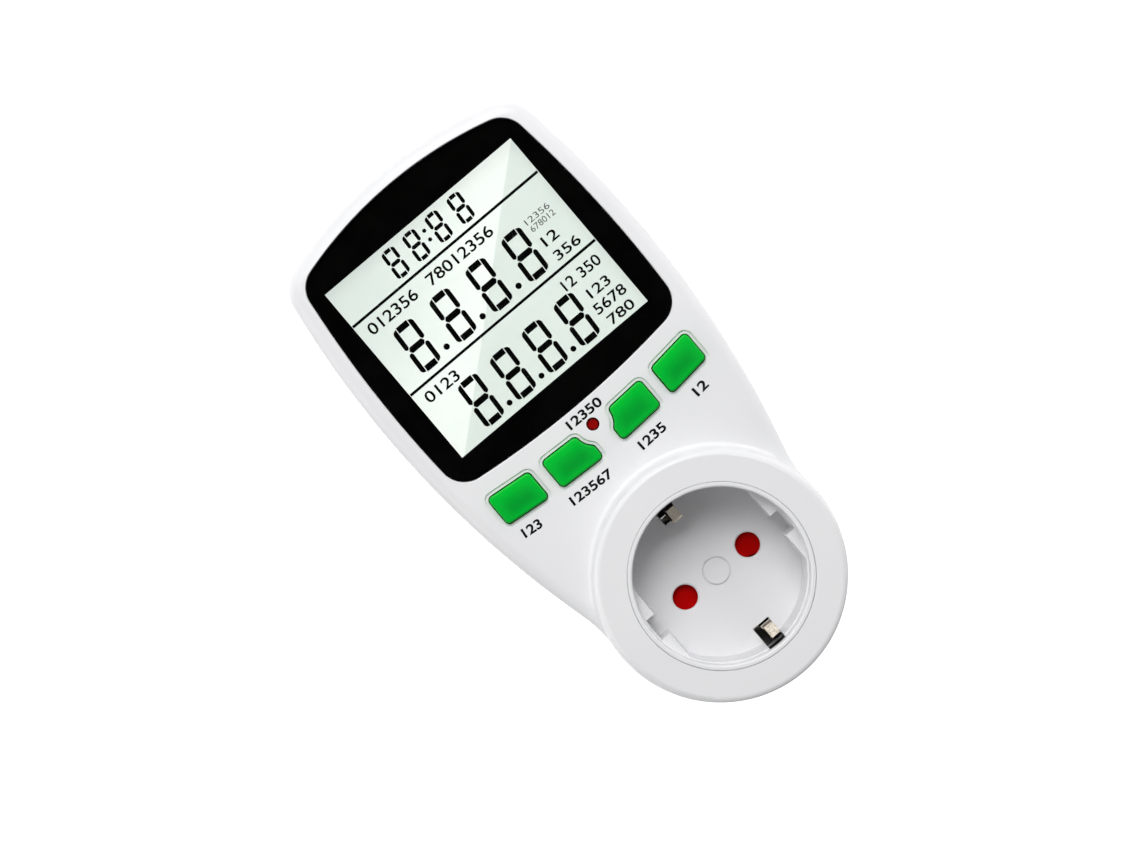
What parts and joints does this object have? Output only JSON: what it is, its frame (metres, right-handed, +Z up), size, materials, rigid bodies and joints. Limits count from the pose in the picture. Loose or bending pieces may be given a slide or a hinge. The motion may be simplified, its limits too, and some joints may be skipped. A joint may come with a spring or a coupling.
{
  "type": "plug-in energy meter",
  "caption": "Pass-through mains plug with a large segment display, a row of push keys with a recessed reset pin, and a shuttered, side-earthed socket below",
  "frame": {"origin": "centre of the plug's face, midway between the two pins, where it seats in a wall socket", "axes": "+Z up towards the display, +Y into the wall along the pins, +X to the user's right"},
  "size_m": [0.0762, 0.07, 0.1496],
  "materials": {
    "white_shell": "fine satin texture, slightly glossy",
    "white_insert": "satin moulded thermoset",
    "clear_lens": "polished clear acrylic",
    "black_mask": "black print behind the lens",
    "cell_glass": "thin display glass",
    "display_ink": "dark display figures",
    "reflector": "pale grey-green reflector film",
    "holder_plastic": "moulded frame",
    "green_key": "glossy green keycap",
    "red_key": "dark red pin button",
    "red_shutter": "dark red moulded plastic",
    "rubber_mat": "silicone rubber",
    "zebra_rubber": "striped conductive rubber",
    "board": "glass-fibre board with green solder resist",
    "chip_black": "moulded epoxy",
    "can_metal": "drawn can",
    "sleeve_black": "shrunk sleeve",
    "film_yellow": "moulded case",
    "varistor_blue": "dipped coating",
    "resistor_body": "lacquered ceramic",
    "cell_green": "shrunk sleeve",
    "carrier_plastic": "black insulating plastic",
    "pin_nickel": "nickel-plated brass",
    "contact_brass": "stamped spring brass",
    "earth_nickel": "nickel-plated spring strip",
    "shunt_alloy": "manganin strip",
    "spring_steel": "spring wire",
    "screw_steel": "zinc-plated steel",
    "wire_brown": "insulated wire",
    "wire_blue": "insulated wire"
  },
  "bodies": {
    "case": {"backup_cell": "cell_green", "board_screws": "screw_steel", "carrier_screw": "screw_steel", "case_screws": "screw_steel", "contact_carrier": "carrier_plastic", "crystal": "can_metal", "current_shunt": "shunt_alloy", "display_lens": "clear_lens", "earth_strap": "earth_nickel", "electrolytic_capacitor": "sleeve_black", "film_capacitor": "film_yellow", "front_cover": "white_shell", "keypad_mat": "rubber_mat", "lcd_front_glass": "cell_glass", "lcd_holder": "holder_plastic", "lcd_rear_glass": "cell_glass", "lcd_reflector": "reflector", "lcd_segments": "display_ink", "lens_mask": "black_mask", "line_contact": "contact_brass", "line_lead": "wire_brown", "line_pin": "pin_nickel", "main_board": "board", "meter_chip": "chip_black", "neutral_contact": "contact_brass", "neutral_lead": "wire_blue", "neutral_pin": "pin_nickel", "pin_retainer": "carrier_plastic", "power_resistor": "resistor_body", "rear_cover": "white_shell", "rectifier": "chip_black", "retainer_screws": "screw_steel", "shutter_spring": "spring_steel", "socket_well": "white_insert", "varistor": "varistor_blue", "well_screws": "screw_steel", "zebra_strip": "zebra_rubber"},
    "button_set": {"button_set": "green_key"},
    "button_energy": {"button_energy": "green_key"},
    "button_cost": {"button_cost": "green_key"},
    "button_up": {"button_up": "green_key"},
    "button_reset": {"button_reset": "red_key"},
    "shutter": {"shutter": "red_shutter"}
  },
  "joints": [
    {"name": "set_press", "type": "slide", "parent": "case", "child": "button_set", "axis": [0, 1, 0], "range_m": [0, 0.0008], "stiffness_N_per_m": 600, "springref_m": -0.0005, "deforming": ["keypad_mat"]},
    {"name": "energy_press", "type": "slide", "parent": "case", "child": "button_energy", "axis": [0, 1, 0], "range_m": [0, 0.0008], "stiffness_N_per_m": 600, "springref_m": -0.0005, "deforming": ["keypad_mat"]},
    {"name": "cost_press", "type": "slide", "parent": "case", "child": "button_cost", "axis": [0, 1, 0], "range_m": [0, 0.0008], "stiffness_N_per_m": 600, "springref_m": -0.0005, "deforming": ["keypad_mat"]},
    {"name": "up_press", "type": "slide", "parent": "case", "child": "button_up", "axis": [0, 1, 0], "range_m": [0, 0.0008], "stiffness_N_per_m": 600, "springref_m": -0.0005, "deforming": ["keypad_mat"]},
    {"name": "reset_press", "type": "slide", "parent": "case", "child": "button_reset", "axis": [0, 1, 0], "range_m": [0, 0.0006], "stiffness_N_per_m": 600, "springref_m": -0.0005, "deforming": ["keypad_mat"]},
    {"name": "shutter_turn", "type": "hinge", "parent": "case", "child": "shutter", "pos_m": [0, -0.0315, 0], "axis": [0, -1, 0], "range_deg": [0, 38], "stiffness_Nm_per_rad": 0.01, "springref_deg": -17.19, "deforming": ["shutter_spring"]}
  ]
}
